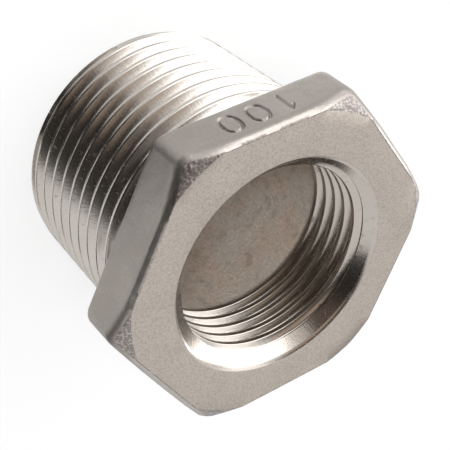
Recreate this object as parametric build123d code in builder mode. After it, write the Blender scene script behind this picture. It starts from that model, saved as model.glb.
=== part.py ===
from build123d import *
import os
from math import cos, radians, tan

# Hexagon reducing bushing: a cast stainless pipe fitting in one piece.
# The 1 inch male taper thread screws into the larger pipe, the 3/4 inch female thread takes the smaller.
# It stands on the free end of its male thread: Z = 0 is that end, and +Z is the common axis of both threads,
# towards the turned face of the hexagon. One flat of the hexagon faces -Y.
# Lengths are in millimetres, angles in degrees.

# Hexagon head
across_flats = 38.0
hex_height = 6.4
hex_sides = 6
corner_radius = 2.2  # cast rounding down each upright corner
turned_overrun = 0.45  # how far outside the flats the turned circle on the face runs
turned_corner_angle = 30.0  # slope of the turned corners below the face
front_rim_radius = 0.45  # worn rim round the flats at the face
back_rim_radius = 0.5  # cast rim round the flats at the shoulder

# Male end, drawn at the crests of its thread
male_length = 24.0  # free end to the hexagon's shoulder
male_gauge_diameter = 33.249  # at the gauge plane, 1 inch taper pipe thread
male_gauge_length = 10.4  # free end to the gauge plane
thread_taper = 1 / 16  # growth in diameter for each unit of length
lead_in = 0.6  # 45 degree lead-in at the free end

# Female end, drawn at the crests of its thread
female_minor_diameter = 24.117  # 3/4 inch pipe thread
female_depth = 10.5  # face to the last turn of the thread
mouth_width = 1.94  # countersink, from the crests out to its edge on the face
mouth_half_angle = 45.0

# Cored cavity behind the female thread
cavity_step = 0.65  # how far the cored wall stands back from the crests, just behind the last turn
cavity_step_angle = 45.0  # slope out to the cored wall
cavity_draft = 0.5  # the core widens towards the free end
outlet_break = 0.4  # 45 degree broken edge round the cavity at the free end

overall_length = male_length + hex_height
flat_radius = across_flats / 2
turned_face_radius = flat_radius + turned_overrun
corner_reach = flat_radius / cos(radians(180 / hex_sides))
male_end_radius = (male_gauge_diameter - male_gauge_length * thread_taper) / 2
male_shoulder_radius = male_end_radius + male_length * thread_taper / 2
lead_in_top_radius = male_end_radius + lead_in * thread_taper / 2
female_radius = female_minor_diameter / 2
female_end_height = overall_length - female_depth
mouth_radius = female_radius + mouth_width
mouth_depth = mouth_width / tan(radians(mouth_half_angle))
cavity_radius = female_radius + cavity_step
cavity_top_height = female_end_height - cavity_step / tan(radians(cavity_step_angle))
outlet_radius = cavity_radius + (cavity_top_height - outlet_break) * tan(radians(cavity_draft))

with BuildPart() as hex_bushing:
    # Hexagon head with cast upright corners
    with BuildSketch(Plane.XY.offset(male_length)) as head_outline:
        RegularPolygon(flat_radius, hex_sides, major_radius=False)
        fillet(head_outline.vertices(), corner_radius)
    extrude(amount=hex_height)

    # Facing the head turns its corners off along a cone, which leaves an arc across each corner
    # and a curved run-out on each flat
    with BuildSketch(Plane.XZ) as turned_off:
        with BuildLine():
            Polyline(
                (turned_face_radius, overall_length),
                (turned_face_radius + corner_reach, overall_length),
                (
                    turned_face_radius + corner_reach,
                    overall_length - corner_reach * tan(radians(turned_corner_angle)),
                ),
                close=True,
            )
        make_face()
    revolve(axis=Axis.Z, mode=Mode.SUBTRACT)

    # Rim of the face, which follows the run-outs down the flats. The arcs on the face itself stay crisp
    lying_edges = hex_bushing.edges().filter_by(Axis.Z, reverse=True)
    back_edges = lying_edges.group_by(Axis.Z)[0]
    fillet((lying_edges - back_edges).filter_by(GeomType.CIRCLE, reverse=True), front_rim_radius)

    # Rim of the shoulder
    fillet(hex_bushing.faces().sort_by(Axis.Z)[0].edges(), back_rim_radius)

    # Male shank, a plain taper at the thread's crests
    with BuildSketch(Plane.XZ) as shank_profile:
        with BuildLine():
            Polyline(
                (0, 0),
                (male_end_radius - lead_in, 0),
                (lead_in_top_radius, lead_in),
                (male_shoulder_radius, male_length),
                (0, male_length),
                close=True,
            )
        make_face()
    revolve(axis=Axis.Z)

    # Passage: countersunk mouth, threaded length, then the cored cavity through to the free end
    with BuildSketch(Plane.XZ) as passage_profile:
        with BuildLine():
            Polyline(
                (0, 0),
                (outlet_radius + outlet_break, 0),
                (outlet_radius, outlet_break),
                (cavity_radius, cavity_top_height),
                (female_radius, female_end_height),
                (female_radius, overall_length - mouth_depth),
                (mouth_radius, overall_length),
                (0, overall_length),
                close=True,
            )
        make_face()
    revolve(axis=Axis.Z, mode=Mode.SUBTRACT)

hex_bushing.part.label = "hex_bushing"
os.makedirs("parts", exist_ok=True)
export_step(hex_bushing.part, "parts/hex_bushing.step")
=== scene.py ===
"""A hexagon reducing bushing in cast stainless steel, dressed over its solid, and the studio it stands in.

The bushing stands on the free end of its male thread, at Z = 0, with the turned face of its hexagon up.
Its sizes are in millimetres, and its points become metres when the mesh is made. The finishes and the studio
are in metres. Angles held as fields are in degrees, and angles of the mesh in radians.
"""

import logging
import math
from collections.abc import Callable
from dataclasses import dataclass, field, replace
from enum import Enum
from typing import TypeAlias

import bpy
import numpy as np
from mathutils import Euler, Matrix, Quaternion, Vector, noise

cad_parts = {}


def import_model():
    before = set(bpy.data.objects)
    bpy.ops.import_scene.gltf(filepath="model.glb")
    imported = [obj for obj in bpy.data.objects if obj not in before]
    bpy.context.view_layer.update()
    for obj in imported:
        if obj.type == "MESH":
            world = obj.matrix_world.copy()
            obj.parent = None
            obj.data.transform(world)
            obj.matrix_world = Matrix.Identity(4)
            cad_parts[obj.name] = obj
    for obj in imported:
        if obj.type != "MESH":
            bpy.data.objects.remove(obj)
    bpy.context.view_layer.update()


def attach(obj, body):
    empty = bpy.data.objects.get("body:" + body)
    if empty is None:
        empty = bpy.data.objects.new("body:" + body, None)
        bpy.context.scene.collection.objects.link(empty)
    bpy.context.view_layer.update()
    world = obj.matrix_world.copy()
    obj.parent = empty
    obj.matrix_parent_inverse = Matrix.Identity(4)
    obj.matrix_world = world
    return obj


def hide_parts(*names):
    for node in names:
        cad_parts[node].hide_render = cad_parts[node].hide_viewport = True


LOG = logging.getLogger("bushing")
MM = 0.001
TURN = 2 * math.pi
NODE = "hex_bushing"
BODY = "root"
MIX_SOCKETS = (6, 7)  # the Mix node's two colours
MIX_COLOUR = 2  # its output
PIECE = "bushing_body"
MALE_LENGTH = 24.0
HEX_HEIGHT = 6.4
TOP = MALE_LENGTH + HEX_HEIGHT

Node: TypeAlias = bpy.types.Node
Socket: TypeAlias = bpy.types.NodeSocket
Piece: TypeAlias = bpy.types.Object
Paint: TypeAlias = bpy.types.Material
Triple: TypeAlias = tuple[float, float, float]
Colour: TypeAlias = Triple
Span: TypeAlias = tuple[float, float]
Value: TypeAlias = "Term | float | tuple | Socket"
Settings: TypeAlias = dict[str, object]  # of a node, by name
Inputs: TypeAlias = dict[str | int, Value]  # of a node's sockets, by name or number
ThreadWall: TypeAlias = Callable[[float, np.ndarray], np.ndarray]  # a thread's radius at an angle and heights
Ring: TypeAlias = float | np.ndarray  # one number for a whole ring, or one for each column
Cell: TypeAlias = tuple[int, int]  # a row and a column
Cone: TypeAlias = Callable[[np.ndarray], np.ndarray]  # a cone's radius at heights
SHADE: Colour = (0.030, 0.027, 0.025)  # nearly black
WHITE: Colour = (1.0, 1.0, 1.0)
EVERYWHERE: Span = (-9.0, -8.0)  # a ramp that has risen before any card starts
NOWHERE: Span = (9.0, 10.0)  # a ramp that rises only beyond every card


class Zone(Enum):
    """The ways in which the bushing's surfaces are left."""

    MALE_THREAD = "male_thread"
    FEMALE_THREAD = "female_thread"
    FACED = "faced_end"
    CAST = "cast_hexagon"
    CORNER = "turned_corner"
    CORED = "cored_wall"


# ---------------------------------------------------------------- shader tools


class Term:
    """A number from a socket, in an expression that adds its Math nodes."""

    def __init__(self, bench: "Bench", socket: Socket) -> None:
        """Wraps the socket that gives the number, and knows the bench that expressions add to."""
        self.bench = bench
        self.socket = socket

    def _math(self, operation: str, first: Value, second: Value = 0.0, clamp: bool = False) -> "Term":
        """Adds one Math node.

        Args:
            operation: The Math node's operation.
            first: The first number.
            second: The second number.
            clamp: Whether the result is held between 0 and 1.

        Returns:
            The node's result.
        """
        settings = {"operation": operation, "use_clamp": clamp}
        node = self.bench.node("ShaderNodeMath", settings, {0: first, 1: second})
        return Term(self.bench, node.outputs[0])

    def __add__(self, other: Value) -> "Term":
        """The sum."""
        return self._math("ADD", self, other)

    def __radd__(self, other: Value) -> "Term":
        """The sum, written the other way round."""
        return self._math("ADD", other, self)

    def __sub__(self, other: Value) -> "Term":
        """The difference."""
        return self._math("SUBTRACT", self, other)

    def __rsub__(self, other: Value) -> "Term":
        """The difference, taken from a number."""
        return self._math("SUBTRACT", other, self)

    def __mul__(self, other: Value) -> "Term":
        """The product."""
        return self._math("MULTIPLY", self, other)

    def __rmul__(self, other: Value) -> "Term":
        """The product, written the other way round."""
        return self._math("MULTIPLY", other, self)

    def __pow__(self, other: Value) -> "Term":
        """The power."""
        return self._math("POWER", self, other)

    def __rpow__(self, other: Value) -> "Term":
        """A number to this power."""
        return self._math("POWER", other, self)

    def slope_over(self, run: Value) -> "Term":
        """The angle, in radians, of a slope that rises by this number over a run."""
        return self._math("ARCTAN2", self, run)

    def most(self, other: Value) -> "Term":
        """The larger of two numbers."""
        return self._math("MAXIMUM", self, other)

    def held(self) -> "Term":
        """The number, held between 0 and 1."""
        return self._math("ADD", self, 0.0, clamp=True)

    def ramp(self, low: float, high: float) -> "Term":
        """A smooth step.

        Args:
            low: The number at which the step starts.
            high: The number at which it ends.

        Returns:
            0 before the step and 1 after it.
        """
        settings = {"interpolation_type": "SMOOTHSTEP", "clamp": True}
        inputs = {"Value": self, "From Min": low, "From Max": high}
        node = self.bench.node("ShaderNodeMapRange", settings, inputs)
        return Term(self.bench, node.outputs[0])


@dataclass(frozen=True)
class Marks:
    """One size of marks on a finish, which fractal noise lays out."""

    size: float  # of the largest spots
    detail: float = 2.0  # how many finer layers they have
    rough: float = 0.5  # how strong the finer layers are
    span: Span = (0.0, 1.0)  # values of the noise over which their tone comes in
    tone: float = 1.0  # how far they take the colour to another one
    dull: float = 0.0  # what they add to the roughness
    depth: float = 0.0  # of their bump

    def tint(self, grain: Term) -> Term:
        """How far a noise takes the colour to another one."""
        return grain.ramp(*self.span) * self.tone


class Bench:
    """A node tree, with one way to add a node to it."""

    def __init__(self, tree: bpy.types.NodeTree) -> None:
        """Empties the node tree of a material or a world, and takes it over."""
        self.tree = tree
        tree.nodes.clear()

    def node(self, kind: str, settings: Settings | None = None, inputs: Inputs | None = None) -> Node:
        """Adds a node.

        Args:
            kind: The node's type.
            settings: What is set on the node itself first.
            inputs: Values or links of its sockets, by name or number.

        Returns:
            The new node.
        """
        made = self.tree.nodes.new(kind)
        for name, value in (settings or {}).items():
            setattr(made, name, value)
        for name, value in (inputs or {}).items():
            self._feed(made.inputs[name], value)
        return made

    def _feed(self, socket: Socket, value: Value) -> None:
        """Gives a socket a link or a value.

        Args:
            socket: The socket to feed.
            value: A term, a socket, a number, a vector or a colour.
        """
        if isinstance(value, Term):
            value = value.socket
        if isinstance(value, Socket):
            self.tree.links.new(value, socket)
        elif socket.type == "RGBA" and len(value) == 3:
            socket.default_value = (*value, 1.0)
        else:
            socket.default_value = value

    def place(self) -> Socket:
        """The point on the surface, in metres."""
        return self.node("ShaderNodeTexCoord").outputs["Object"]

    def split(self, vector: Socket) -> tuple[Term, Term, Term]:
        """The three numbers of a vector."""
        node = self.node("ShaderNodeSeparateXYZ", None, {0: vector})
        return tuple(Term(self, out) for out in node.outputs)

    def joined(self, x: Value, y: Value, z: Value) -> Socket:
        """A vector made from three numbers."""
        return self.node("ShaderNodeCombineXYZ", None, {0: x, 1: y, 2: z}).outputs[0]

    def round_axis(self) -> tuple[Term, Term, Term]:
        """The angle round the bushing's axis, the distance from it and the height."""
        x, y, z = self.split(self.place())
        return y.slope_over(x), self.from_axis(x, y), z

    @staticmethod
    def from_axis(x: Term, y: Term) -> Term:
        """The distance from the bushing's axis."""
        return (x * x + y * y) ** 0.5

    def grain(self, vector: Socket, marks: Marks) -> Term:
        """Fractal noise about 0.5, read at a vector, for some marks."""
        inputs = {"Vector": vector, "Scale": 1 / marks.size, "Detail": marks.detail, "Roughness": marks.rough}
        return Term(self, self.node("ShaderNodeTexNoise", None, inputs).outputs[0])

    def cells(self, vector: Socket, size: float) -> Term:
        """The distance to the nearest of many scattered points, as a share of their mean spacing."""
        node = self.node("ShaderNodeTexVoronoi", {"feature": "F1"}, {"Vector": vector, "Scale": 1 / size})
        return Term(self, node.outputs["Distance"])

    def blend(self, share: Value, first: Value, second: Value) -> Socket:
        """A colour between two: the first where the share is 0, and the second where it is 1."""
        inputs = {"Factor": share, MIX_SOCKETS[0]: first, MIX_SOCKETS[1]: second}
        return self.node("ShaderNodeMix", {"data_type": "RGBA"}, inputs).outputs[MIX_COLOUR]

    def bump(self, height: Term, depth: float, under: Socket | None = None) -> Socket:
        """A normal bent by a height.

        Args:
            height: The height, about 0 to 1.
            depth: What 1 stands for, in metres.
            under: A normal that is already bent.

        Returns:
            The new normal.
        """
        inputs = {"Height": height, "Distance": depth, "Strength": 1.0}
        if under is not None:
            inputs["Normal"] = under
        return self.node("ShaderNodeBump", None, inputs).outputs[0]

    def veil(self, share: Value, colour: Value, strength: float) -> None:
        """A paint that glows the same from everywhere and lets the room through where its share is less.

        Args:
            share: How solid it is.
            colour: Its colour.
            strength: How strongly it glows.
        """
        plain = self.node("ShaderNodeEmission", None, {"Color": colour, "Strength": strength})
        clear = self.node("ShaderNodeBsdfTransparent")
        self.mixed(share, clear, plain)

    def mixed(self, share: Value, first: Node, second: Node) -> None:
        """Ends a material in a mix of two shaders: the first at a share of 0, the second at 1."""
        both = self.node("ShaderNodeMixShader", None, {0: share, 1: first.outputs[0], 2: second.outputs[0]})
        self.node("ShaderNodeOutputMaterial", None, {"Surface": both.outputs[0]})


Surface: TypeAlias = tuple[Value, Value, Socket]  # a colour, a roughness and a normal


@dataclass(frozen=True)
class Steel:
    """A finish of the bushing's steel. Colours are linear."""

    name: str
    colour: Colour
    roughness: float
    metallic: float = 1.0

    def material(self) -> Paint:
        """Makes the finish's material.

        Returns:
            The new material.
        """
        material, bench = fresh_material(self.name)
        colour, roughness, normal = self.surface(bench)
        inputs = {"Metallic": self.metallic, "Base Color": colour, "Roughness": roughness, "Normal": normal}
        shader = bench.node("ShaderNodeBsdfPrincipled", None, inputs)
        bench.node("ShaderNodeOutputMaterial", None, {"Surface": shader.outputs[0]})
        return material

    def surface(self, bench: Bench) -> Surface:
        """What changes over the surface: the colour, the roughness and the normal."""
        raise NotImplementedError


@dataclass(frozen=True)
class ThreadedSteel(Steel):
    """Steel cut by a threading tool: bright, with fine lines round the axis and small torn spots."""

    lines: Marks = Marks(0.00011, 2.0, 0.7, dull=0.10, depth=0.0000016)
    chatter: Marks = Marks(0.00026, 3.0, 0.6, depth=0.000010)
    spots: Marks = Marks(0.0009, 4.0, 0.7, (0.58, 0.72), 0.5, 0.18)
    cloud: Marks = Marks(0.005, 2.0, 0.5, (0.35, 0.7), 0.12)
    stain: Colour = (0.36, 0.30, 0.25)
    line_arc: float = 0.004  # what a radian round the axis counts for in the lines, so that they run long
    chatter_by: Triple = (0.016, 0.3, 0.16)  # what a radian, a metre outward and a metre up count for in it

    def surface(self, bench: Bench) -> Surface:
        """Lines round the axis, chatter across them, and a few darker spots.

        Args:
            bench: The material's node tree.

        Returns:
            The colour, the roughness and the normal.
        """
        angle, radius, height = bench.round_axis()
        lines = bench.grain(bench.joined(angle * self.line_arc, radius, height), self.lines)
        arc, outward, upward = self.chatter_by
        across = bench.joined(angle * arc, radius * outward, height * upward)
        chatter = bench.grain(across, self.chatter)
        spots = bench.grain(bench.place(), self.spots).ramp(*self.spots.span)
        cloud = bench.grain(bench.place(), self.cloud)
        colour = bench.blend(spots * self.spots.tone + self.cloud.tint(cloud), self.colour, self.stain)
        roughness = self.roughness + lines * self.lines.dull + spots * self.spots.dull
        normal = bench.bump(lines, self.lines.depth)
        return colour, roughness.held(), bench.bump(chatter, self.chatter.depth, normal)


@dataclass(frozen=True)
class FacedSteel(Steel):
    """The turned and rubbed face: even, matt, with short scratches and a fine grain."""

    dark: Colour = (0.34, 0.30, 0.26)
    specks: Marks = Marks(0.00022, 1.0, 0.5, (0.44, 0.62), 0.42)
    grain: Marks = Marks(0.00034, 3.0, 0.65, (0.42, 0.68), 0.22, 0.10, 0.000016)
    rubs: Marks = Marks(0.00016, 2.0, 0.5, (0.60, 0.78), 0.20, depth=0.000006)
    cloud: Marks = Marks(0.0045, 3.0, 0.55, (0.4, 0.7), 0.12)
    rub_turns: Triple = (12.0, 71.0, 128.0)  # the directions of the rubbing
    rub_arc: float = 0.09  # what a metre along a rub counts for, so that it runs long
    polish: Span = (0.62, 0.8)  # values of the rubs over which they shine
    polish_share: float = 0.08

    def surface(self, bench: Bench) -> Surface:
        """A fine grain, short rubbing marks in three directions, and a faint cloud.

        Args:
            bench: The material's node tree.

        Returns:
            The colour, the roughness and the normal.
        """
        place = bench.place()
        grain, cloud = bench.grain(place, self.grain), bench.grain(place, self.cloud)
        rubs = self._rubs(bench, place)
        fleck = self.specks.tint(bench.grain(place, self.specks)) + self.grain.tint(grain)
        fleck = (fleck + self.rubs.tint(rubs) + self.cloud.tint(cloud)).held()
        colour = bench.blend(fleck, self.colour, self.dark)
        roughness = self.roughness + grain * self.grain.dull - rubs.ramp(*self.polish) * self.polish_share
        normal = bench.bump(grain, self.grain.depth)
        return colour, roughness.held(), bench.bump(rubs, self.rubs.depth, normal)

    def _rubs(self, bench: Bench, place: Socket) -> Term:
        """The strongest of the rubbing marks in each direction.

        Args:
            bench: The material's node tree.
            place: The point on the surface.

        Returns:
            Their noise.
        """
        x, y, z = bench.split(place)
        rubs = None
        for turn in self.rub_turns:
            cosine, sine = math.cos(math.radians(turn)), math.sin(math.radians(turn))
            lane = bench.joined((x * cosine + y * sine) * self.rub_arc, y * cosine - x * sine, z)
            rub = bench.grain(lane, self.rubs)
            rubs = rub if rubs is None else rubs.most(rub)
        return rubs


@dataclass(frozen=True)
class CastSteel(Steel):
    """The hexagon's sides as cast, shot-blasted and pickled: satin grey, brighter where they are rubbed."""

    rubbed: Colour = (0.56, 0.52, 0.48)
    grain: Marks = Marks(0.00028, 3.0, 0.6, (0.5, 0.72), 0.20, 0.12, 0.000032)
    dents: Marks = Marks(0.0016, 2.0, 0.5, depth=0.000060)
    cloud: Marks = Marks(0.004, 3.0, 0.6, (0.35, 0.7), 0.14)
    top: float = 0.0304
    rub_reach: float = 0.0009  # below the top, where the rim is rubbed
    rub_least: float = 0.35
    rub_dents: float = 0.9  # how unevenly the dents let it be rubbed
    rub_tone: float = 0.5
    rub_polish: float = 0.12

    def surface(self, bench: Bench) -> Surface:
        """A blasted grain, shallow dents, and brighter rims.

        Args:
            bench: The material's node tree.

        Returns:
            The colour, the roughness and the normal.
        """
        place = bench.place()
        _, _, height = bench.split(place)
        grain, dents, cloud = (bench.grain(place, marks) for marks in (self.grain, self.dents, self.cloud))
        rim = (height - (self.top - self.rub_reach)).ramp(0.0, self.rub_reach)
        rub = (rim * (self.rub_least + dents * self.rub_dents)).held()
        tone = (rub * self.rub_tone + self.cloud.tint(cloud) + self.grain.tint(grain)).held()
        colour = bench.blend(tone, self.colour, self.rubbed)
        roughness = self.roughness + grain * self.grain.dull - rub * self.rub_polish
        normal = bench.bump(grain, self.grain.depth)
        return colour, roughness.held(), bench.bump(dents, self.dents.depth, normal)


@dataclass(frozen=True)
class CornerSteel(Steel):
    """The corners that the facing tool slopes off: torn and pitted."""

    pale: Colour = (0.50, 0.46, 0.44)
    tears: Marks = Marks(0.0003, 3.0, 0.7, (0.46, 0.64), dull=0.2, depth=0.000030)
    pit_size: float = 0.0006
    pit_depth: float = 0.000060

    def surface(self, bench: Bench) -> Surface:
        """Pits and short tears.

        Args:
            bench: The material's node tree.

        Returns:
            The colour, the roughness and the normal.
        """
        place = bench.place()
        pits, tears = bench.cells(place, self.pit_size), bench.grain(place, self.tears)
        colour = bench.blend(tears.ramp(*self.tears.span), self.colour, self.pale)
        roughness = self.roughness + tears * self.tears.dull
        normal = bench.bump(tears, self.tears.depth)
        return colour, roughness.held(), bench.bump(pits, self.pit_depth, normal)


@dataclass(frozen=True)
class CoredSteel(Steel):
    """The cavity's wall as the sand core left it: rough and mottled, with warm stains."""

    warm: Colour = (0.50, 0.36, 0.27)
    pale: Colour = (0.64, 0.57, 0.50)
    dark: Colour = (0.20, 0.17, 0.15)
    sand: Marks = Marks(0.0004, 5.0, 0.75, (0.38, 0.66), 0.75, 0.15, 0.00013)
    lumps: Marks = Marks(0.0020, 4.0, 0.65, (0.50, 0.72), 0.45, depth=0.00020)
    cloud: Marks = Marks(0.0060, 3.0, 0.6, (0.42, 0.62), 0.8)

    def surface(self, bench: Bench) -> Surface:
        """Sand marks, lumps, warm clouds and pale flecks.

        Args:
            bench: The material's node tree.

        Returns:
            The colour, the roughness and the normal.
        """
        place = bench.place()
        sand, lumps, cloud = (bench.grain(place, marks) for marks in (self.sand, self.lumps, self.cloud))
        colour = self.colour
        for marks, grain, other in (
            (self.cloud, cloud, self.warm),
            (self.sand, sand, self.pale),
            (self.lumps, lumps, self.dark),
        ):
            colour = bench.blend(marks.tint(grain), colour, other)
        roughness = self.roughness + sand * self.sand.dull
        normal = bench.bump(lumps, self.lumps.depth)
        return colour, roughness.held(), bench.bump(sand, self.sand.depth, normal)


# ---------------------------------------------------------------- the bushing's form


@dataclass(frozen=True)
class Hexagon:
    """The outline of the hexagon, with cast corners. A corner lies on +X and a flat faces -Y."""

    across_flats: float = 38.0
    corner_radius: float = 2.2
    sides: int = 6
    corner_columns: int = 6
    flat_columns: int = 48
    corner_reach: float = 3.0  # degrees on either side of a corner that get closer columns
    least_bend: float = 0.05

    def columns(self) -> np.ndarray:
        """The angles at which the bushing is sampled, closer at the corners.

        Returns:
            Angles in radians, from 0 up to a full turn.
        """
        step = math.degrees(TURN) / self.sides
        near = np.linspace(0, self.corner_reach, self.corner_columns, endpoint=False)
        middle = np.linspace(self.corner_reach, step - self.corner_reach, self.flat_columns, endpoint=False)
        far = np.linspace(step - self.corner_reach, step, self.corner_columns, endpoint=False)
        sector = np.concatenate([near, middle, far])
        return np.radians(np.concatenate([sector + step * side for side in range(self.sides)]))

    def radius(self, angles: np.ndarray, inset: Ring = 0.0) -> np.ndarray:
        """Distance from the axis to the outline.

        Args:
            angles: Directions, in radians.
            inset: How far inside the outline the line runs.

        Returns:
            The distances.
        """
        half = math.pi / self.sides
        flat = self.across_flats / 2 - inset
        bend = np.maximum(self.corner_radius - inset, self.least_bend)
        from_flat = (angles % (2 * half)) - half
        from_corner = half - np.abs(from_flat)
        straight = flat / np.cos(from_flat)
        centre = (flat - bend) / math.cos(half)
        inside = np.maximum(bend**2 - (centre * np.sin(from_corner)) ** 2, 0)
        rounded = centre * np.cos(from_corner) + np.sqrt(inside)
        on_corner = np.abs(flat * np.tan(from_flat)) > (flat - bend) * math.tan(half)
        return np.where(on_corner, rounded, straight)


@dataclass(frozen=True)
class ThreadForm:
    """A right-hand thread, sampled along its own helix. Its widths are shares of the pitch."""

    pitch: float
    depth: float
    crest_height: float  # height of one crest on the +X side
    land: float  # half of the crest's flat
    shoulder: float  # how far the crest's rounded edge runs on from the flat
    root: float  # half of the root's round
    edge_fall: tuple[Span, ...] = ((0.0, 0.012), (0.6, 0.05), (1.0, 0.13))  # shares of that, and depths
    flank_foot: float = 0.89  # how deep the flank runs
    root_fall: Span = (0.48, 0.975)  # a share of half the root, from its middle, and its depth

    def form(self) -> tuple[np.ndarray, np.ndarray]:
        """One pitch of the profile, from a crest to the next.

        Returns:
            Shares of the pitch, and shares of the depth below the crest.
        """
        half = [(0.0, 0.0)]
        half += [(self.land + self.shoulder * share, depth) for share, depth in self.edge_fall]
        share, depth = self.root_fall
        half += [(0.5 - self.root, self.flank_foot), (0.5 - self.root * share, depth)]
        shares = [share for share, _ in half] + [0.5] + [1 - share for share, _ in reversed(half[1:])]
        depths = [depth for _, depth in half] + [1.0] + [depth for _, depth in reversed(half[1:])]
        return np.array(shares), np.array(depths)

    def depth_at(self, angles: np.ndarray, heights: np.ndarray) -> np.ndarray:
        """Depth below the crest line.

        Args:
            angles: Directions round the axis, in radians.
            heights: Heights along the axis.

        Returns:
            The depths.
        """
        shares, depths = self.form()
        share = ((heights - self.crest_height) / self.pitch - angles / TURN) % 1.0
        return self.depth * np.interp(share, np.append(shares, 1.0), np.append(depths, 0.0))


@dataclass
class SurfaceNet:
    """Points and faces of one closed surface round the axis."""

    angles: np.ndarray
    points: list[np.ndarray] = field(default_factory=list)
    faces: list[list[int]] = field(default_factory=list)
    zones: list[Zone] = field(default_factory=list)
    chains: dict[tuple[int, int], list[int]] = field(default_factory=dict)
    count: int = 0

    def add(self, radius: np.ndarray, angle: np.ndarray, height: np.ndarray) -> np.ndarray:
        """Adds points.

        Args:
            radius: Distances from the axis.
            angle: Directions, in radians.
            height: Heights.

        Returns:
            The points' numbers.
        """
        radius, angle, height = np.broadcast_arrays(radius, angle, height)
        self.points.append(np.stack([radius * np.cos(angle), radius * np.sin(angle), height], 1))
        self.count += len(radius)
        return np.arange(self.count - len(radius), self.count)

    def ring(self, radius: Ring, height: Ring) -> np.ndarray:
        """Adds one point in each column."""
        return self.add(radius, self.angles, height)

    def face(self, corners: list[int], zone: Zone) -> None:
        """Adds a face, with the points that divide its edges.

        Args:
            corners: Its points, in order.
            zone: How it is left.
        """
        loop: list[int] = []
        for start, end in zip(corners, corners[1:] + corners[:1]):
            loop.append(start)
            loop.extend(self.chains.get((start, end), ()))
        self.faces.append(loop)
        self.zones.append(zone)

    def divide(self, start: int, end: int, between: list[int]) -> None:
        """Says which points divide an edge."""
        self.chains[(start, end)] = between
        self.chains[(end, start)] = between[::-1]

    def turn_over(self, first: int) -> None:
        """Turns over every face from the given one on."""
        for loop in self.faces[first:]:
            loop.reverse()

    def bridge(self, first: np.ndarray, second: np.ndarray, zone: Zone) -> None:
        """Joins two rings by a band of faces.

        Args:
            first: The ring that comes first along the profile.
            second: The ring after it.
            zone: How the band is left.
        """
        for column in range(len(first)):
            after = (column + 1) % len(first)
            self.face([int(first[column]), int(first[after]), int(second[after]), int(second[column])], zone)

    def path(self, start: np.ndarray, rings: list[tuple[Ring, Ring]], zone: Zone) -> np.ndarray:
        """Joins several rings in turn.

        Args:
            start: The ring that the path leaves from.
            rings: The radius and height of each further ring.
            zone: How the bands are left.

        Returns:
            The last ring.
        """
        for radius, height in rings:
            following = self.ring(radius, height)
            self.bridge(start, following, zone)
            start = following
        return start


@dataclass
class HelixBand:
    """A threaded wall between two level rings, whose lines of points follow the helix."""

    net: SurfaceNet
    thread: ThreadForm
    low: float
    high: float
    zone: Zone
    radius_at: ThreadWall
    limit_at: Cone  # it trims an outside wall and opens an inside one
    outer: bool
    clear: float = 0.25  # share of the finest step that stays free at either ring
    spare: int = 1  # turns laid out beyond either ring

    def build(self) -> tuple[np.ndarray, np.ndarray]:
        """Makes the wall.

        Returns:
            The lower and the upper ring.
        """
        pitch, crest = self.thread.pitch, self.thread.crest_height
        shares, _ = self.thread.form()
        per_turn = len(shares)
        slack = self.clear * pitch * float(np.diff(shares).min())
        turns = int((self.high - self.low) / pitch) + 2 * self.spare + 1
        base = math.floor((self.low - crest) / pitch) - self.spare
        steps = (np.arange(base, base + turns + 1)[:, None] + shares[None, :]).ravel()
        rows: list[dict[int, int]] = []
        lower: list[int] = []
        upper: list[int] = []
        for angle in self.net.angles:
            heights = crest + pitch * (steps + angle / TURN)
            inside = np.nonzero((heights > self.low + slack) & (heights < self.high - slack))[0]
            column, radius = self._trim(np.concatenate([[self.low], heights[inside], [self.high]]), angle)
            ids = [int(point) for point in self.net.add(radius, np.full(len(column), angle), column)]
            lower.append(ids[0])
            upper.append(ids[-1])
            rows.append({int(step) + base * per_turn: point for step, point in zip(inside, ids[1:-1])})
        rows.append({step - per_turn: point for step, point in rows[0].items()})
        first_face = len(self.net.faces)
        for column in range(len(self.net.angles)):
            self._stitch(column, rows[column], rows[column + 1], lower, upper)
        if not self.outer:
            self.net.turn_over(first_face)
        return np.array(lower), np.array(upper)

    def _trim(self, heights: np.ndarray, angle: float) -> tuple[np.ndarray, np.ndarray]:
        """Cuts one column by the cone, and moves the nearest points onto the edge that this leaves.

        Args:
            heights: The column's heights, rising.
            angle: Its direction.

        Returns:
            The heights and the radii.
        """
        heights = heights.copy()
        gap = self.radius_at(angle, heights) - self.limit_at(heights)
        crossing = np.nonzero(gap[:-1] * gap[1:] < 0)[0]
        fixed: dict[int, float] = {}
        for index in crossing:
            share = gap[index] / (gap[index] - gap[index + 1])
            target = index if share < 0.5 else index + 1
            target = min(max(target, 1), len(heights) - 2)
            if target not in fixed:
                fixed[target] = heights[index] + share * (heights[index + 1] - heights[index])
        for target, height in fixed.items():
            heights[target] = height
        choose = np.minimum if self.outer else np.maximum
        return heights, choose(self.radius_at(angle, heights), self.limit_at(heights))

    def _stitch(
        self, column: int, here: dict[int, int], there: dict[int, int], lower: list[int], upper: list[int]
    ) -> None:
        """Joins a column to the next.

        Args:
            column: The column's number.
            here: Its points by step along the helix.
            there: The next column's points by step.
            lower: The lower ring.
            upper: The upper ring.
        """
        after = (column + 1) % len(self.net.angles)
        start, stop = max(min(here), min(there)), min(max(here), max(there))
        for step in range(start, stop):
            self.net.face([here[step], there[step], there[step + 1], here[step + 1]], self.zone)
        foot = [lower[column], lower[after]]
        foot += [there[step] for step in range(min(there), start + 1)]
        foot += [here[step] for step in range(start, min(here) - 1, -1)]
        self.net.face(foot, self.zone)
        head = [here[step] for step in range(max(here), stop - 1, -1)]
        head += [there[step] for step in range(stop, max(there) + 1)]
        self.net.face(head + [upper[after], upper[column]], self.zone)


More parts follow.
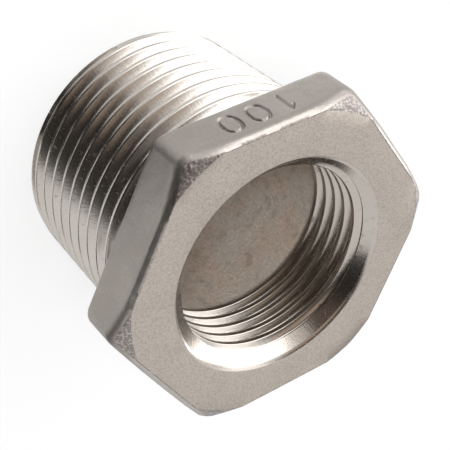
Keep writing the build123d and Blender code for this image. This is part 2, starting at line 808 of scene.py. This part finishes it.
@dataclass(frozen=True)
class StampedNumber:
    """A plain number stamped into the flat that faces -Y, with its top towards the turned face."""

    digits: str = "100"
    centre: Span = (-0.05, 27.05)  # across the flat, and up
    height: float = 3.1
    width: float = 2.1
    spacing: float = 3.45
    stroke: float = 0.20  # half of a stroke's width
    depth: float = 0.27
    oval_points: int = 40
    oval_power: float = 0.8  # below 1 it squares the noughts a little
    flag: Span = (0.55, 0.45)  # the start of the one's flag, as shares of half the width and half the height
    fall_gain: float = 1.25  # above 1 it leaves the bottom of a stroke flat
    fall_reach: float = 1.35  # how far from its middle line a stroke's sides end, in strokes
    margin: float = 2.5  # round the stamped area, in strokes

    def strokes(self) -> list[np.ndarray]:
        """The middle lines of the strokes: an oval for a nought, and a one for any other digit.

        Returns:
            Lines of points on the flat, across and up.
        """
        lines = []
        for place, digit in enumerate(self.digits):
            middle = self.centre[0] + (place - (len(self.digits) - 1) / 2) * self.spacing
            half_width, half_height = self.width / 2, self.height / 2
            if digit == "0":
                turn = np.linspace(0, TURN, self.oval_points + 1)
                across = self._squared(np.cos(turn)) * half_width
                up = self._squared(np.sin(turn)) * half_height
                lines.append(np.stack([middle + across, self.centre[1] + up], 1))
            else:
                top, foot = self.centre[1] + half_height, self.centre[1] - half_height
                flag = (middle - half_width * self.flag[0], top - half_height * self.flag[1])
                lines.append(np.array([flag, (middle, top), (middle, foot)]))
        return lines

    def _squared(self, wave: np.ndarray) -> np.ndarray:
        """A sine or cosine that makes an oval a little square."""
        return np.sign(wave) * np.abs(wave) ** self.oval_power

    def depth_at(self, across: np.ndarray, up: np.ndarray) -> np.ndarray:
        """How deep the stamp went.

        Args:
            across: Places along the flat.
            up: Heights on the flat.

        Returns:
            Depths under the flat.
        """
        spots = np.stack([across, up], 1)
        nearest = np.full(len(spots), np.inf)
        for line in self.strokes():
            for start, end in zip(line[:-1], line[1:]):
                run = end - start
                share = np.clip(((spots - start) @ run) / (run @ run), 0, 1)
                nearest = np.minimum(nearest, np.linalg.norm(spots - start - share[:, None] * run, axis=1))
        fall = np.clip(self.fall_gain * (1 - nearest / (self.stroke * self.fall_reach)), 0, 1)
        return self.depth * fall * fall * (3 - 2 * fall)

    def covers(self, across: float, up: float) -> bool:
        """Whether a place lies in the stamped area.

        Args:
            across: The place along the flat.
            up: Its height.

        Returns:
            Whether it does.
        """
        border = self.stroke * self.margin
        half_width = (len(self.digits) - 1) / 2 * self.spacing + self.width / 2 + border
        half_height = self.height / 2 + border
        return abs(across - self.centre[0]) < half_width and abs(up - self.centre[1]) < half_height


TAPPED_LINES = replace(ThreadedSteel.lines, size=0.00009)  # the tap leaves finer lines
FINISHES: dict[Zone, Steel] = {
    Zone.MALE_THREAD: ThreadedSteel("threaded_steel", colour=(0.56, 0.525, 0.485), roughness=0.17),
    Zone.FEMALE_THREAD: ThreadedSteel(
        "tapped_steel", colour=(0.50, 0.46, 0.42), roughness=0.15, lines=TAPPED_LINES
    ),
    Zone.FACED: FacedSteel("faced_steel", colour=(0.54, 0.482, 0.433), roughness=0.42),
    Zone.CAST: CastSteel("cast_steel", colour=(0.325, 0.296, 0.272), roughness=0.36),
    Zone.CORNER: CornerSteel("turned_corner_steel", colour=(0.24, 0.215, 0.205), roughness=0.34),
    Zone.CORED: CoredSteel("cored_steel", colour=(0.45, 0.40, 0.35), roughness=0.5, metallic=0.35),
}


@dataclass(frozen=True)
class Shank:
    """The shank with the male taper thread, from its free end up to the shoulder."""

    length: float = MALE_LENGTH
    end_radius: float = 16.2995  # of the crests at the free end
    lead_in: float = 0.25
    entry: float = 0.5  # over this length the groove rises out at the free end
    taper: float = 1 / 32
    runout: Span = (20.2, 24.0)  # heights between which the groove gets shallower
    runout_depth: float = 0.25  # what is left of its depth at the shoulder
    thread: ThreadForm = ThreadForm(
        pitch=2.309, depth=1.40, crest_height=1.566, land=0.05, shoulder=0.09, root=0.12
    )

    def crest_radius(self, height: Ring) -> Ring:
        """Radius of the taper on which the crests lie."""
        return self.end_radius + self.taper * height

    def _thread_radius(self, angle: Ring, height: np.ndarray) -> np.ndarray:
        """Radius of the male thread, which runs out at the free end and towards the shoulder.

        Args:
            angle: The direction round the axis.
            height: Heights.

        Returns:
            The radii.
        """
        start, end = self.runout
        fade = 1 - (1 - self.runout_depth) * np.clip((height - start) / (end - start), 0, 1)
        fade = fade * np.clip(height / self.entry, 0, 1)
        return self.crest_radius(height) - self.thread.depth_at(angle, height) * fade

    def build(self, net: SurfaceNet) -> tuple[np.ndarray, np.ndarray]:
        """The male thread, from the free end to the shoulder."""
        ends, walls = (0.0, self.length), (self._thread_radius, self._lead_in_radius)
        return HelixBand(net, self.thread, *ends, Zone.MALE_THREAD, *walls, outer=True).build()

    def _lead_in_radius(self, height: np.ndarray) -> np.ndarray:
        """Radius of the lead-in's cone, whose sides slope at 45 degrees."""
        return self.end_radius - self.lead_in + height


@dataclass(frozen=True)
class Head:
    """The hexagon: its shoulder, cast flats and rims, stamped number, turned corners and face."""

    hexagon: Hexagon = Hexagon()
    number: StampedNumber = StampedNumber()
    base: float = MALE_LENGTH
    top: float = TOP
    turned_overrun: float = 0.45  # of the turned circle, beyond the flats
    turned_angle: float = 30.0
    turned_least: float = 0.12  # least width of a turned corner
    front_rim: float = 0.6
    rim_crown: float = 0.22
    rim_shares: tuple[float, ...] = (0.33, 0.67, 1.0)  # rings of the front rim
    back_rim: float = 0.5
    back_turns: tuple[float, ...] = (22.5, 45.0, 67.5, 90.0)  # rings round the back rim
    shoulder_share: float = 0.3  # where a ring divides the shoulder
    face_shares: Span = (0.35, 0.97)  # where rings divide the turned face
    mouth_edge: float = 0.03  # how far the edge of the mouth lies below the face
    skin: float = 0.045  # how far the cast skin lies under the true flats
    skin_middle: float = 0.5  # the middle share of that
    skin_most: float = 1.4  # the largest share of it
    skin_waves: tuple[Span, ...] = ((0.22, 0.5), (0.75, 0.22))  # how fast its waves change, and their share
    flat_rows: int = 9
    flat_slack: float = 0.01
    fine_columns: int = 5  # of each cell that the number touches
    fine_rows: int = 7

    @property
    def turned_radius(self) -> float:
        """Radius of the circle that the facing tool leaves."""
        return self.hexagon.across_flats / 2 + self.turned_overrun

    def _skin_at(self, angle: np.ndarray, height: np.ndarray) -> np.ndarray:
        """How far the cast skin of the hexagon lies under the true flats.

        Args:
            angle: Directions round the axis.
            height: Heights.

        Returns:
            Depths, never outside the flats.
        """
        radius = self.hexagon.across_flats / 2
        depths = []
        for a, z in zip(np.ravel(angle), np.ravel(height)):
            spot = Vector((radius * math.cos(a), radius * math.sin(a), z))
            depth = self.skin_middle
            for scale, share in self.skin_waves:
                depth += share * noise.noise(spot * scale)
            depths.append(depth)
        return self.skin * np.clip(np.array(depths), 0, self.skin_most)

    def _surface_height(self, radius: np.ndarray) -> np.ndarray:
        """Height of the turned face, and of the slope outside the turned circle."""
        slope = math.tan(math.radians(self.turned_angle))
        return self.top - np.maximum(radius - self.turned_radius, 0) * slope

    def walls(self, net: SurfaceNet, shoulder: np.ndarray, shank: float) -> np.ndarray:
        """The shoulder, the cast rim at the back, the flats and the front rim.

        Args:
            net: The surface.
            shoulder: The ring where the thread meets the hexagon.
            shank: That ring's radius.

        Returns:
            The ring at the inside of the front rim.
        """
        angles = net.angles
        back = self.back_rim
        edge = self.hexagon.radius(angles, back)
        rings = [(shank + (edge - shank) * self.shoulder_share, self.base), (edge, self.base)]
        for turn in self.back_turns:
            sine, cosine = math.sin(math.radians(turn)), math.cos(math.radians(turn))
            height = self.base + back * (1 - cosine)
            skin = self._skin_at(angles, np.full(len(angles), height)) * sine
            rings.append((self.hexagon.radius(angles, back * (1 - sine) + skin), height))
        rows = [net.path(shoulder, rings, Zone.CAST)]
        for row in range(1, self.flat_rows + 1):
            height = self._flat_heights(angles, row / self.flat_rows)
            rows.append(net.ring(self._flat_radius(angles, height), height))
        self._join_flats(net, rows)
        low = self._flat_heights(angles, 1.0)
        skin = self._skin_at(angles, low)
        corner = self._surface_height(self.hexagon.radius(angles))
        high = self._surface_height(self.hexagon.radius(angles, self.front_rim))
        rings = []
        for share in self.rim_shares:
            inset = self.front_rim * (share - self.rim_crown * share * (1 - share))
            height = low + (high - low) * share + (corner - low) * self.rim_crown * share * (1 - share)
            rings.append((self.hexagon.radius(angles, inset + skin * (1 - share)), height))
        return net.path(rows[-1], rings, Zone.CAST)

    def _flat_heights(self, angles: np.ndarray, share: Ring) -> np.ndarray:
        """Heights on the flats.

        Args:
            angles: Directions round the axis.
            share: 0 at the back rim and 1 at the front rim.

        Returns:
            The heights.
        """
        low = self.base + self.back_rim
        high = self._surface_height(self.hexagon.radius(angles)) - self.front_rim
        return low + (high - low) * share

    def _flat_radius(self, angles: np.ndarray, heights: np.ndarray) -> np.ndarray:
        """Distance from the axis to the cast and stamped flats.

        Args:
            angles: Directions round the axis.
            heights: Their heights.

        Returns:
            The distances.
        """
        skin = self._skin_at(angles, heights)
        plain = self.hexagon.radius(angles)
        across, out = plain * np.cos(angles), -plain * np.sin(angles)
        on_flat = out > self.hexagon.across_flats / 2 - self.flat_slack
        stamp = np.where(on_flat, self.number.depth_at(across, heights), 0)
        half = math.pi / self.hexagon.sides
        return self.hexagon.radius(angles, skin) - stamp / np.cos((angles % (2 * half)) - half)

    def _stamped_cells(self, net: SurfaceNet) -> set[Cell]:
        """Finds the cells of the flats that the number touches.

        Args:
            net: The surface.

        Returns:
            Their rows and columns.
        """
        angles = np.append(net.angles, TURN)
        front = -math.cos(math.pi / self.hexagon.sides)
        cells = set()
        for row in range(1, self.flat_rows - 1):
            for column in range(len(net.angles)):
                middle = (angles[column] + angles[column + 1]) / 2
                if math.sin(middle) > front:
                    continue
                up = float(self._flat_heights(np.array([middle]), (row + 0.5) / self.flat_rows)[0])
                across = self.hexagon.across_flats / 2 * math.cos(middle) / -math.sin(middle)
                if self.number.covers(across, up):
                    cells.add((row, column))
        return cells

    def _fine_points(self, net: SurfaceNet, rows: list[np.ndarray], cells: set[Cell]) -> dict[Cell, int]:
        """Adds the points of the finer net under the number.

        Args:
            net: The surface.
            rows: The rings of the flats.
            cells: The cells that the number touches.

        Returns:
            The points by their row and column in the finer net.
        """
        angles = np.append(net.angles, TURN)
        tall, wide = self.fine_rows, self.fine_columns
        points: dict[Cell, int] = {}
        for row, column in sorted(cells):
            missing = []
            for v in range(row * tall, (row + 1) * tall + 1):
                for u in range(column * wide, (column + 1) * wide + 1):
                    if v % tall == 0 and u % wide == 0:
                        points[(v, u)] = int(rows[v // tall][u // wide])
                    elif (v, u) not in points:
                        missing.append((v, u))
            places = np.array(missing, float)
            left = (places[:, 1] // wide).astype(int)
            part = places[:, 1] / wide - left
            angle = angles[left] + part * (angles[np.minimum(left + 1, len(angles) - 1)] - angles[left])
            height = self._flat_heights(angle, places[:, 0] / tall / self.flat_rows)
            ids = net.add(self._flat_radius(angle, height), angle, height)
            points.update({key: int(point) for key, point in zip(missing, ids)})
        return points

    def _join_flats(self, net: SurfaceNet, rows: list[np.ndarray]) -> None:
        """Joins the rows of the flats, with a finer net where the number is stamped.

        Args:
            net: The surface.
            rows: The rings of the flats, from the back rim to the front rim.
        """
        cells = self._stamped_cells(net)
        points = self._fine_points(net, rows, cells)
        tall, wide = self.fine_rows, self.fine_columns
        for row, column in sorted(cells):
            low, high, left, right = row * tall, (row + 1) * tall, column * wide, (column + 1) * wide
            sides = [
                ((row - 1, column), [(low, u) for u in range(left, right + 1)]),
                ((row + 1, column), [(high, u) for u in range(left, right + 1)]),
                ((row, column - 1), [(v, left) for v in range(low, high + 1)]),
                ((row, column + 1), [(v, right) for v in range(low, high + 1)]),
            ]
            for neighbour, keys in sides:
                if neighbour not in cells:
                    ids = [points[key] for key in keys]
                    net.divide(ids[0], ids[-1], ids[1:-1])
        for row in range(len(rows) - 1):
            for column in range(len(net.angles)):
                if (row, column) in cells:
                    continue
                after = (column + 1) % len(net.angles)
                corners = [rows[row][column], rows[row][after], rows[row + 1][after], rows[row + 1][column]]
                net.face([int(corner) for corner in corners], Zone.CAST)
        net.chains.clear()
        for row, column in sorted(cells):
            for v in range(row * tall, (row + 1) * tall):
                for u in range(column * wide, (column + 1) * wide):
                    keys = [(v, u), (v, u + 1), (v + 1, u + 1), (v + 1, u)]
                    net.face([points[key] for key in keys], Zone.CAST)

    def face(self, net: SurfaceNet, rim: np.ndarray, mouth: float) -> np.ndarray:
        """The sloped corners and the turned face, up to the mouth of the bore.

        Args:
            net: The surface.
            rim: The ring at the inside of the front rim.
            mouth: Radius of the bore's mouth.

        Returns:
            The ring round the mouth.
        """
        inner = self.hexagon.radius(net.angles, self.front_rim)
        circle = np.minimum(self.turned_radius, inner - self.turned_least)
        slope = [(line, self._surface_height(line)) for line in ((inner + circle) / 2, circle)]
        start = net.path(rim, slope, Zone.CORNER)
        rings = [(circle + (mouth - circle) * share, self.top) for share in self.face_shares]
        return net.path(start, [*rings, (mouth, self.top - self.mouth_edge)], Zone.FACED)


@dataclass(frozen=True)
class Bore:
    """The way through: the countersunk mouth, the tapped thread and the cored cavity."""

    top: float = TOP
    radius: float = 12.0585  # of the crests
    depth: float = 10.5
    thread: ThreadForm = ThreadForm(
        pitch=1.8143, depth=0.92, crest_height=1.604, land=0.135, shoulder=0.06, root=0.12
    )
    mouth_width: float = 1.94
    mouth_cut: float = 0.76  # how far below the face the thread's band starts
    scribed_at: float = 0.42  # below the face
    scribed_half: float = 0.05
    scribed_depth: float = 0.035
    cavity_step: float = 0.65
    cavity_draft: float = 0.5
    cavity_rows: int = 20
    groove_drops: tuple[float, ...] = (0.3, 0.65, 1.1, 1.6)  # rings in which the last groove runs out
    groove_end: float = 2.2  # how far below the thread its depth would be gone
    wall_start: float = 2.1  # how far below the thread the plain cored wall starts
    outlet_break: float = 0.4
    outlet_plain: float = 0.3  # above the broken edge, without lumps
    core_skin: float = 0.12  # how far the cored wall strays from its cone
    core_waves: tuple[Triple, ...] = ((3.2, 0.26, 0.7), (9.0, 0.7, 0.4))  # how fast round and up, and share

    @property
    def mouth_radius(self) -> float:
        """Radius of the countersink at the face."""
        return self.radius + self.mouth_width

    def _thread_radius(self, angle: Ring, height: np.ndarray) -> np.ndarray:
        """Radius of the tapped thread."""
        return self.radius + self.thread.depth_at(angle, height)

    def _countersink_radius(self, height: np.ndarray) -> np.ndarray:
        """Radius of the countersink."""
        return self.mouth_radius - (self.top - height)

    def threads(self, net: SurfaceNet, mouth: np.ndarray) -> np.ndarray:
        """The countersink with its scribed ring, and the tapped thread.

        Args:
            net: The surface.
            mouth: The ring round the mouth.

        Returns:
            The ring at the thread's inner end.
        """
        steps = []
        for side, dip in ((-1, 0.0), (0, self.scribed_depth), (1, 0.0)):
            height = self.top - self.scribed_at + side * self.scribed_half
            steps.append((self._countersink_radius(height) + dip, height - dip))
        start = net.path(mouth, steps, Zone.FEMALE_THREAD)
        low, high = self.top - self.depth, self.top - self.mouth_cut
        walls = (self._thread_radius, self._countersink_radius)
        inner, outer = HelixBand(net, self.thread, low, high, Zone.FEMALE_THREAD, *walls, outer=False).build()
        net.bridge(start, outer, Zone.FEMALE_THREAD)
        return inner

    def cavity_radius(self, height: float) -> float:
        """Radius of the cored cavity, which widens towards the free end."""
        below = self.top - self.depth - self.cavity_step - height
        return self.radius + self.cavity_step + below * math.tan(math.radians(self.cavity_draft))

    def _core_lumps(self, angles: np.ndarray, height: float) -> np.ndarray:
        """How far the cored wall lies outside its plain cone.

        Args:
            angles: Directions round the axis.
            height: The height.

        Returns:
            The distances, of either sign.
        """
        lumps = []
        for angle in angles:
            lump = 0.0
            for across, up, share in self.core_waves:
                spot = Vector((math.cos(angle) * across, math.sin(angle) * across, height * up))
                lump += share * noise.noise(spot)
            lumps.append(lump)
        return self.core_skin * np.array(lumps)

    def cavity(self, net: SurfaceNet, step: np.ndarray) -> np.ndarray:
        """The last groove running out into the cored wall, and the wall down to the free end.

        Args:
            net: The surface.
            step: The ring at the thread's inner end.

        Returns:
            The ring at the broken edge of the outlet.
        """
        angles = net.angles
        edge = self.top - self.depth
        rings = []
        for drop in self.groove_drops:
            plain = self.radius + min(drop, self.cavity_step)
            depth = self.thread.depth_at(angles, np.full(len(angles), edge - drop))
            groove = self.radius + depth * (1 - drop / self.groove_end)
            rings.append((np.maximum(plain, groove), edge - drop))
        last = self.outlet_break + self.outlet_plain
        for height in np.linspace(edge - self.wall_start, last, self.cavity_rows):
            rings.append((self.cavity_radius(height) + self._core_lumps(angles, height), height))
        rings.append((self.cavity_radius(self.outlet_break), self.outlet_break))
        return net.path(step, rings, Zone.CORED)


@dataclass(frozen=True)
class Bushing:
    """The whole fitting: one casting with its shank, its hexagon and its bore."""

    shank: Shank = Shank()
    head: Head = Head()
    bore: Bore = Bore()
    sharp_angle: float = 38.0

    def build(self) -> Piece:
        """Makes the closed mesh of the bushing and dresses it.

        Returns:
            The bushing's object.
        """
        net = SurfaceNet(self.head.hexagon.columns())
        foot, shoulder = self.shank.build(net)
        rim = self.head.walls(net, shoulder, self.shank.crest_radius(self.shank.length))
        mouth = self.head.face(net, rim, self.bore.mouth_radius)
        outlet = self.bore.cavity(net, self.bore.threads(net, mouth))
        edge = self.bore.outlet_break
        end = self.bore.cavity_radius(edge)
        middle = (end + self.shank.end_radius) / 2
        inner = net.path(outlet, [(end + edge, 0.0), (middle, 0.0)], Zone.FACED)
        net.bridge(inner, foot, Zone.FACED)
        return self._to_object(net)

    def _to_object(self, net: SurfaceNet) -> Piece:
        """Turns the surface into a dressed object.

        Args:
            net: The finished surface.

        Returns:
            The object, in metres.
        """
        mesh = bpy.data.meshes.new(PIECE)
        points = np.concatenate(net.points) * MM
        mesh.from_pydata(points.tolist(), [], net.faces)
        order = list(FINISHES)
        for finish in FINISHES.values():
            mesh.materials.append(finish.material())
        mesh.polygons.foreach_set("material_index", [order.index(zone) for zone in net.zones])
        mesh.polygons.foreach_set("use_smooth", [True] * len(net.faces))
        mesh.validate()
        mesh.update()
        mesh.set_sharp_from_angle(angle=math.radians(self.sharp_angle))
        return in_scene(PIECE, mesh)


# ---------------------------------------------------------------- the studio


class Stand(Enum):
    """How a card is held, and how far that tips it up from the level."""

    OVERHEAD = 0.0
    UPRIGHT = 90.0


@dataclass(frozen=True)
class Card:
    """A card that only reflections see, overhead or upright, with soft edges and perhaps a warm side."""

    name: str
    stand: Stand
    place: Triple
    turn: float  # about the vertical
    left: float
    right: float
    low: float
    high: float
    soft: tuple[float, float, float, float]  # how far its left, right, low and high edges fade
    colour: Colour = SHADE
    strength: float = 1.0
    warm: Colour = (0.50, 0.41, 0.34)
    cool_across: Span = EVERYWHERE  # where its warm side gives way to its own colour, across it
    cool_up: Span = NOWHERE  # and up it

    def build(self) -> Piece:
        """Places the card.

        Returns:
            The card.
        """
        across = (self.left, self.right, self.right, self.left)
        up = (self.low, self.low, self.high, self.high)
        corners = [Vector((x, y, 0)) for x, y in zip(across, up)]
        piece = sheet(self.name, corners, [(0, 1, 2, 3)], self._material())
        tip = self.stand.value
        turned = Euler((math.radians(tip), 0, math.radians(self.turn + tip)))
        piece.matrix_world = Matrix.Translation(self.place) @ turned.to_matrix().to_4x4()
        only_reflected(piece)
        return piece

    def _material(self) -> Paint:
        """Mixes the card's paint, from its warm side to its own colour.

        Returns:
            The paint.
        """
        material, bench = fresh_material(self.name)
        x, y, _ = bench.split(bench.place())
        left, right, low, high = self.soft
        share = (x - self.left).ramp(0.0, left) * (self.right - x).ramp(0.0, right)
        share = share * (y - self.low).ramp(0.0, low) * (self.high - y).ramp(0.0, high)
        cool = x.ramp(*self.cool_across).most(y.ramp(*self.cool_up))
        bench.veil(share, bench.blend(cool, self.warm, self.colour), self.strength)
        return material


@dataclass(frozen=True)
class FloorSheet:
    """A sheet on the floor that only reflections see, where the shank mirrors the floor to the camera. A dark
    sheet is painted shade, which the shank mirrors as darker floor round its foot; a white sheet that glows
    is painted light.
    """

    name: str
    start: float  # directions on the shank between which it is mirrored
    end: float
    fade_in: float  # over how much of them it fades at its start
    fade_out: float  # and at its end
    colour: Colour = SHADE
    strength: float = 1.0
    sight: float = -56.0  # direction of the camera in plan
    inner: float = 0.0166  # radius of the shank's foot
    gap: float = 0.0  # from the shank to the sheet
    reach: float = 0.027  # from the shank to the sheet's far side
    lift: float = 0.0002
    steps: int = 40

    def build(self) -> Piece:
        """Lays the sheet down.

        Returns:
            The sheet.
        """
        points, faces, shares = [], [], []
        for step in range(self.steps + 1):
            angle = self.start + (self.end - self.start) * step / self.steps
            foot, away = direction(angle) * self.inner, direction(2 * angle - self.sight)
            lift = Vector((0, 0, self.lift))
            points += [foot + away * self.gap + lift, foot + away * self.reach + lift]
            fades = (angle - self.start) / self.fade_in, (self.end - angle) / self.fade_out
            shares += [min(1.0, *fades)] * 2
            if step:
                faces.append((2 * step - 2, 2 * step - 1, 2 * step + 1, 2 * step))
        material, bench = fresh_material(self.name)
        share = Term(bench, bench.node("ShaderNodeAttribute", {"attribute_name": "shade"}).outputs["Fac"])
        bench.veil(share, self.colour, self.strength)
        piece = sheet(self.name, points, faces, material)
        piece.data.attributes.new("shade", "FLOAT", "POINT").data.foreach_set("value", shares)
        only_reflected(piece)
        return piece


@dataclass(frozen=True)
class SoftBox:
    """A soft lamp that faces the bushing from a direction."""

    name: str
    azimuth: float
    elevation: float
    distance: float
    width: float
    height: float
    power: float
    mirrored: bool = True
    colour: Colour = WHITE

    def build(self, aim: Vector) -> Piece:
        """Places the lamp.

        Args:
            aim: The point that it faces.

        Returns:
            The lamp.
        """
        light = bpy.data.lights.new(self.name, "AREA")
        light.shape, light.size, light.size_y = "RECTANGLE", self.width, self.height
        light.energy, light.color = self.power, self.colour
        lamp = in_scene(self.name, light)
        put(lamp, aim, self.azimuth, self.elevation, self.distance)
        lamp.visible_camera = False
        lamp.visible_glossy = self.mirrored
        return lamp


def in_scene(name: str, data: bpy.types.ID) -> Piece:
    """Makes an object from a mesh, a light or a camera, and links it to the scene.

    Args:
        name: The object's name.
        data: What it holds.

    Returns:
        The object.
    """
    piece = bpy.data.objects.new(name, data)
    bpy.context.scene.collection.objects.link(piece)
    return piece


def direction(azimuth: float, elevation: float = 0.0) -> Vector:
    """A direction of length one, turned from +X towards +Y and raised above the level."""
    level, rise = math.radians(azimuth), math.radians(elevation)
    return Vector((math.cos(rise) * math.cos(level), math.cos(rise) * math.sin(level), math.sin(rise)))


def put(piece: Piece, aim: Vector, azimuth: float, elevation: float, distance: float) -> None:
    """Places something on a sphere round a point, facing it.

    Args:
        piece: What is placed.
        aim: The sphere's centre.
        azimuth: Its direction in plan.
        elevation: How far it stands above the level.
        distance: The sphere's radius.
    """
    away = direction(azimuth, elevation)
    turn = away.to_track_quat("Z", "Y")
    piece.matrix_world = Matrix.Translation(aim + away * distance) @ turn.to_matrix().to_4x4()


def sheet(name: str, points: list[Vector], faces: list[tuple[int, ...]], material: Paint) -> Piece:
    """Makes a thin piece of the studio.

    Args:
        name: Its name.
        points: Its points.
        faces: Its faces.
        material: Its material.

    Returns:
        The piece, at the origin.
    """
    mesh = bpy.data.meshes.new(name)
    mesh.from_pydata(points, [], faces)
    mesh.materials.append(material)
    return in_scene(name, mesh)


def fresh_material(name: str) -> tuple[Paint, Bench]:
    """Makes an empty material.

    Args:
        name: Its name.

    Returns:
        The material and its node tree.
    """
    material = bpy.data.materials.new(name)
    material.use_nodes = True
    return material, Bench(material.node_tree)


def only_reflected(piece: Piece) -> None:
    """Lets only reflections see a card."""
    piece.visible_camera = piece.visible_diffuse = piece.visible_shadow = False
    piece.visible_transmission = piece.visible_volume_scatter = False


@dataclass(frozen=True)
class Studio:
    """A pale floor, a white room, soft boxes, cards and sheets for the reflections, and the camera."""

    floor_size: float = 6.0
    floor_colour: Colour = (0.62, 0.62, 0.62)
    floor_glow: float = 0.6  # how much of the floor's white holds in its shadows
    glow_from: Span = (0.0135, 0.0165)  # not under the bore
    glow_whole: Span = (0.12, 0.5)  # past these distances the floor is as white as the room
    room: Colour = WHITE
    aim: Triple = (0.0, 0.0, 0.018)
    camera_place: Triple = (0.060188, -0.089179, 0.119106)
    camera_aim: Triple = (-0.000719, 0.002109, 0.017583)
    camera_roll: float = 131.4
    lens: float = 98.84
    sensor: float = 36.0
    nearest: float = 0.005  # what the camera still sees
    boxes: tuple[SoftBox, ...] = (
        SoftBox("key_box", azimuth=-139.0, elevation=31.0, distance=0.9, width=1.25, height=0.56, power=4.6),
        SoftBox("low_box", azimuth=168.0, elevation=8.0, distance=0.9, width=0.6, height=0.35, power=2.0),
        SoftBox("bore_box", azimuth=-56.0, elevation=47.0, distance=0.9, width=0.3, height=0.3, power=6.5,
                mirrored=False),
    )
    cards: tuple[Card | FloorSheet, ...] = (
        Card("overhead_card", Stand.OVERHEAD, place=(0.0, 0.0, 0.618), turn=12.0, left=-0.38, right=0.95,
             low=-0.52, high=0.055, soft=(0.14, 0.1, 0.15, 0.012), warm=(0.60, 0.49, 0.40),
             cool_across=(0.07, 0.25), cool_up=(-0.15, -0.07)),
        Card("front_card", Stand.UPRIGHT, place=(0.52, -0.30, 0.0), turn=-30.0, left=-0.85, right=0.37,
             low=0.0, high=1.2, soft=(0.42, 0.012, 0.001, 0.1), cool_across=(-0.7, -0.4)),
        Card("back_card", Stand.UPRIGHT, place=(-0.353, 0.485, 0.0), turn=126.0, left=-0.24, right=0.24,
             low=0.0, high=0.30, soft=(0.05, 0.05, 0.001, 0.08), colour=(0.30, 0.285, 0.27)),
        Card("bright_card", Stand.UPRIGHT, place=(-0.556, -0.225, 0.0), turn=-158.0, left=-0.30, right=0.30,
             low=0.0, high=0.26, soft=(0.10, 0.10, 0.001, 0.05), colour=WHITE, strength=2.2),
        Card("high_card", Stand.UPRIGHT, place=(-0.6, 0.0, 0.0), turn=180.0, left=-0.28, right=0.24,
             low=0.46, high=1.05, soft=(0.08, 0.08, 0.08, 0.10), colour=WHITE, strength=2.0),
        Card("mouth_card", Stand.OVERHEAD, place=(0.0, 0.0, 0.600), turn=12.0, left=-0.10, right=0.26,
             low=-0.58, high=-0.32, soft=(0.03, 0.06, 0.05, 0.04), colour=(0.055, 0.034, 0.028)),
        Card("side_card", Stand.UPRIGHT, place=(0.564, 0.205, 0.0), turn=20.0, left=-0.22, right=0.22,
             low=0.0, high=0.25, soft=(0.01, 0.05, 0.001, 0.08)),
        # floor sheets: painted shade that the shank mirrors as darker floor, and one sheet of painted light
        # (floor_bounce)
        FloorSheet("floor_shade", start=-76.0, end=-27.0, fade_in=40.0, fade_out=2.0, reach=0.022),
        FloorSheet("long_shade", start=-58.0, end=-42.0, fade_in=8.0, fade_out=4.0, reach=0.3, lift=0.0004),
        FloorSheet("wide_shade", start=-19.0, end=6.0, fade_in=5.0, fade_out=6.0, gap=0.06, reach=0.5,
                   lift=0.0003),
        FloorSheet("floor_bounce", start=-126.0, end=-96.0, fade_in=4.0, fade_out=10.0, colour=WHITE,
                   strength=2.6),
        FloorSheet("far_shade", start=-156.0, end=-123.0, fade_in=2.0, fade_out=4.0,
                   colour=(0.34, 0.33, 0.31), reach=0.04, lift=0.0005),
        FloorSheet("near_shade", start=8.0, end=40.0, fade_in=14.0, fade_out=2.0, colour=(0.25, 0.24, 0.23)),
    )

    def build(self) -> None:
        """Sets up the room, the floor, the lamps, the cards and the camera."""
        self._room()
        self._floor()
        aim = Vector(self.aim)
        lamps = [box.build(aim) for box in self.boxes]
        for piece in (*lamps, *(card.build() for card in self.cards)):
            LOG.info("studio: %s", piece.name)
        self._camera()

    def _room(self) -> None:
        """The white room all round."""
        world = bpy.data.worlds.new("room")
        world.use_nodes = True
        bench = Bench(world.node_tree)
        sky = bench.node("ShaderNodeBackground", None, {"Color": self.room, "Strength": 1.0})
        bench.node("ShaderNodeOutputWorld", None, {"Surface": sky.outputs[0]})
        bpy.context.scene.world = world
        bpy.context.scene.view_settings.view_transform = "Standard"

    def _floor(self) -> None:
        """The pale floor that the bushing stands on."""
        material, bench = fresh_material("pale_floor")
        path = bench.node("ShaderNodeLightPath")
        seen = Term(bench, path.outputs["Is Camera Ray"])
        for kind in ("Is Glossy Ray", "Is Transmission Ray"):
            seen = seen.most(path.outputs[kind])
        x, y, _ = bench.split(bench.place())
        radius = bench.from_axis(x, y)
        glow = self.floor_glow + (1 - self.floor_glow) * radius.ramp(*self.glow_whole)
        seen = seen * glow * radius.ramp(*self.glow_from)
        paint = bench.node("ShaderNodeBsdfDiffuse", None, {"Color": self.floor_colour})
        light = bench.node("ShaderNodeEmission", None, {"Color": self.room, "Strength": 1.0})
        bench.mixed(seen, paint, light)
        half = self.floor_size / 2
        corners = [Vector((x * half, y * half, 0)) for x, y in ((-1, -1), (1, -1), (1, 1), (-1, 1))]
        floor = sheet("floor", corners, [(0, 1, 2, 3)], material)

    def _camera(self) -> None:
        """The camera, rolled about its own axis."""
        data = bpy.data.cameras.new("camera")
        data.lens, data.sensor_width, data.clip_start = self.lens, self.sensor, self.nearest
        camera = in_scene("camera", data)
        place = Vector(self.camera_place)
        look = (Vector(self.camera_aim) - place).to_track_quat("-Z", "Y")
        roll = Quaternion((0, 0, 1), math.radians(self.camera_roll))
        camera.matrix_world = Matrix.Translation(place) @ (look @ roll).to_matrix().to_4x4()
        bpy.context.scene.camera = camera


def main() -> None:
    """Builds the bushing and its studio."""
    logging.basicConfig(level=logging.INFO, format="%(message)s")
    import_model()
    bushing = Bushing().build()
    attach(bushing, BODY)
    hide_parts(NODE)
    LOG.info("%s: %d points, %d faces", bushing.name, len(bushing.data.vertices), len(bushing.data.polygons))
    Studio().build()


if __name__ == "__main__":
    main()
